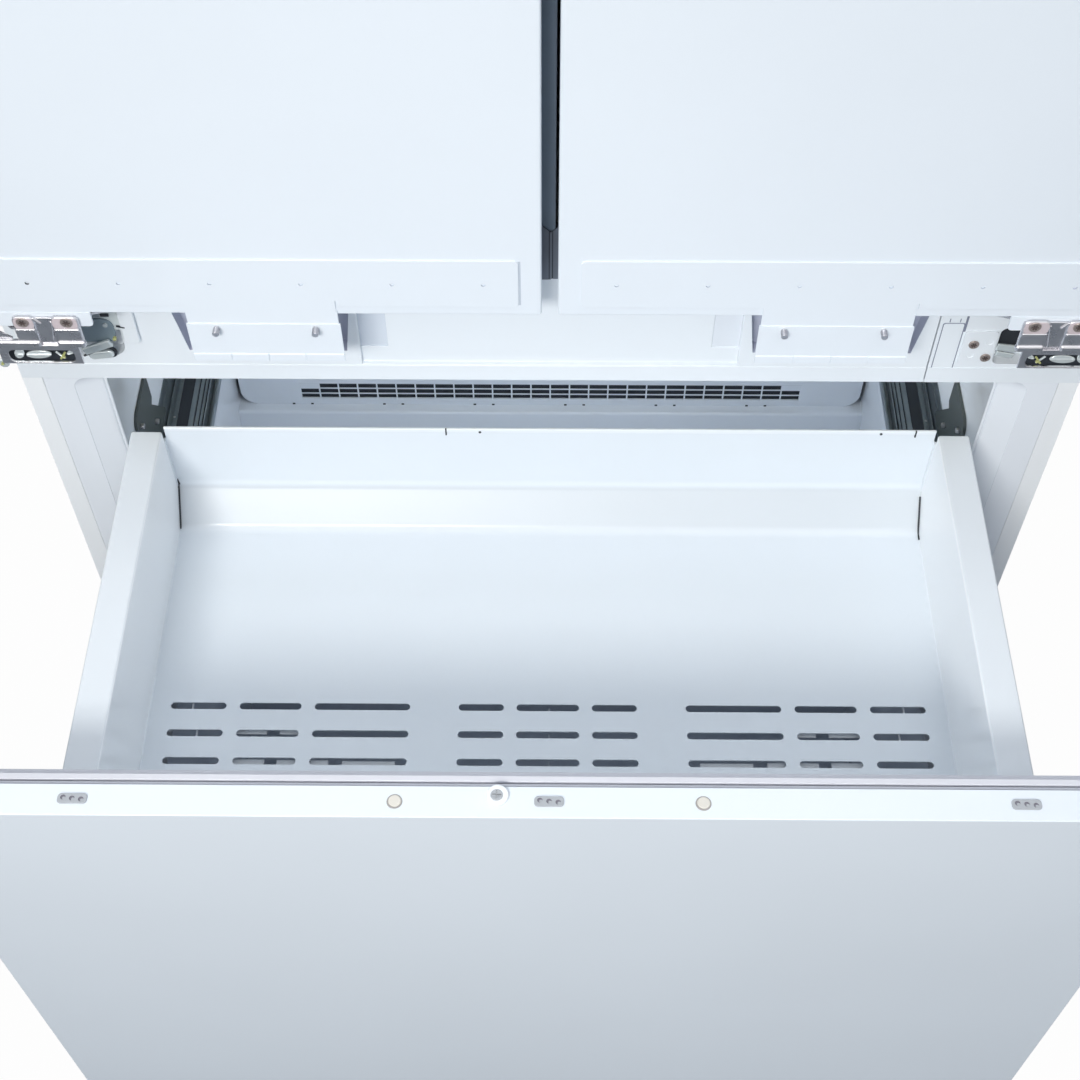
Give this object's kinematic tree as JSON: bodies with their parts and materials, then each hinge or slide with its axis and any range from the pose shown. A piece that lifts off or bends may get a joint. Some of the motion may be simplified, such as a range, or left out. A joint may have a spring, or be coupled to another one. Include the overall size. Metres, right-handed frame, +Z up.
{
  "type": "built-in refrigerator",
  "caption": "Tall panel-ready built-in refrigerator with side-by-side doors on folding link hinges above a pulled-out freezer drawer with an upper tray.",
  "frame": {"origin": "on the floor, midway across, straight below the front face of the cabinet flanges", "axes": "+X to the right seen from the front, +Y into the cabinet, +Z up"},
  "size_m": [0.908, 0.989, 2.149],
  "materials": {
    "casing_steel": "light grey painted sheet",
    "galvanised_steel": "plain galvanised sheet",
    "foam": "rigid insulating foam",
    "liner_plastic": "smooth white moulded plastic",
    "rail_paint": "white satin paint",
    "screw_steel": "dark plated steel",
    "hinge_steel": "bright zinc plated steel",
    "dark_plastic": "dark grey plastic",
    "black_paint": "black paint",
    "coil_aluminium": "bare aluminium",
    "shelf_glass": "clear toughened glass",
    "gloss_panel": "smooth dark panel",
    "light_plastic": "frosted light cover",
    "clear_plastic": "clear moulded plastic",
    "front_paint": "white satin paint",
    "seal": "soft grey seal",
    "tray_paint": "white powder coat",
    "slide_steel": "dark zinc plated steel",
    "cream_plastic": "cream moulded plastic"
  },
  "bodies": {
    "cabinet": {"outer_wrapper": "casing_steel", "back_panel": "galvanised_steel", "cabinet_foam": "foam", "freezer_liner": "liner_plastic", "fridge_liner": "liner_plastic", "cross_rail": "rail_paint", "rail_end_cover": "rail_paint", "cabinet_screws": "screw_steel", "hinge_cups": "hinge_steel", "mullion_guide": "dark_plastic", "base_frame": "galvanised_steel", "levelling_feet": "dark_plastic", "toe_grille": "black_paint", "condenser": "black_paint", "evaporator": "coil_aluminium", "condenser_fan_mount": "dark_plastic", "evaporator_fan_mount": "dark_plastic", "compressor": "black_paint", "drain_pan": "dark_plastic", "control_box": "dark_plastic", "evaporator_cover": "liner_plastic", "glass_shelves": "shelf_glass", "control_panel": "gloss_panel", "light_strips": "light_plastic", "roof_brackets": "galvanised_steel", "slide_outer_rails": "slide_steel"},
    "drawer": {"drawer_skin": "front_paint", "drawer_foam": "foam", "drawer_liner": "liner_plastic", "drawer_gasket": "seal", "tray": "tray_paint", "basket": "liner_plastic", "slide_inner_rails": "slide_steel", "panel_adapters": "hinge_steel", "top_plugs": "cream_plastic"},
    "slide_middle": {"slide_middle_rails": "slide_steel"},
    "rear_rollers": {"rear_rollers": "dark_plastic"},
    "condenser_fan": {"condenser_fan": "dark_plastic"},
    "evaporator_fan": {"evaporator_fan": "dark_plastic"},
    "left_crisper": {"left_crisper": "clear_plastic"},
    "right_crisper": {"right_crisper": "clear_plastic"},
    "mullion": {"mullion_flap": "dark_plastic"},
    "left_links": {"left_hinge_links": "hinge_steel"},
    "left_door": {"left_door_skin": "front_paint", "left_door_foam": "foam", "left_door_liner": "liner_plastic", "left_door_gasket": "seal", "left_door_bins": "clear_plastic", "left_panel_bracket": "front_paint", "left_hinge_brackets": "hinge_steel", "left_door_screws": "screw_steel"},
    "right_links": {"right_hinge_links": "hinge_steel"},
    "right_door": {"right_door_skin": "front_paint", "right_door_foam": "foam", "right_door_liner": "liner_plastic", "right_door_gasket": "seal", "right_door_bins": "clear_plastic", "right_panel_bracket": "front_paint", "right_hinge_brackets": "hinge_steel", "right_door_screws": "screw_steel"}
  },
  "joints": [
    {"name": "drawer_slide", "type": "slide", "parent": "cabinet", "child": "drawer", "axis": [0, 1, 0], "range_m": [0, 0.381]},
    {"name": "slide_middle_slide", "type": "slide", "parent": "cabinet", "child": "slide_middle", "axis": [0, 1, 0], "range_m": [0, 0.1905]},
    {"name": "rear_roller_spin", "type": "hinge", "parent": "cabinet", "child": "rear_rollers", "pos_m": [0, 0.52, 0.025], "axis": [1, 0, 0], "continuous": true},
    {"name": "condenser_fan_spin", "type": "hinge", "parent": "cabinet", "child": "condenser_fan", "pos_m": [0, 0.194, 0.073], "axis": [0, 1, 0], "continuous": true},
    {"name": "evaporator_fan_spin", "type": "hinge", "parent": "cabinet", "child": "evaporator_fan", "pos_m": [0, 0.434, 0.56], "axis": [0, 1, 0], "continuous": true},
    {"name": "left_crisper_slide", "type": "slide", "parent": "cabinet", "child": "left_crisper", "axis": [0, -1, 0], "range_m": [0, 0.08]},
    {"name": "right_crisper_slide", "type": "slide", "parent": "cabinet", "child": "right_crisper", "axis": [0, -1, 0], "range_m": [0, 0.08]},
    {"name": "left_link_fold", "type": "hinge", "parent": "cabinet", "child": "left_links", "pos_m": [-0.345, -0.013, 0.8], "axis": [0, 0, 1], "range_deg": [0, 35]},
    {"name": "left_door_swing", "type": "hinge", "parent": "left_links", "child": "left_door", "pos_m": [-0.425, -0.034, 0.8], "axis": [0, 0, -1], "range_deg": [0, 150]},
    {"name": "right_link_fold", "type": "hinge", "parent": "cabinet", "child": "right_links", "pos_m": [0.345, -0.013, 0.8], "axis": [0, 0, -1], "range_deg": [0, 35]},
    {"name": "right_door_swing", "type": "hinge", "parent": "right_links", "child": "right_door", "pos_m": [0.425, -0.034, 0.8], "axis": [0, 0, 1], "range_deg": [0, 150]},
    {"name": "mullion_fold", "type": "hinge", "parent": "left_door", "child": "mullion", "pos_m": [-0.035, 0.007, 1.46], "axis": [0, 0, 1], "range_deg": [0, 90]}
  ],
  "couplings": [
    {"joint": "slide_middle_slide", "follows": "drawer_slide", "ratio": 0.5},
    {"joint": "left_link_fold", "follows": "left_door_swing", "ratio": 0.23333},
    {"joint": "right_link_fold", "follows": "right_door_swing", "ratio": 0.23333},
    {"joint": "mullion_fold", "follows": "left_door_swing", "ratio": 0.6}
  ]
}
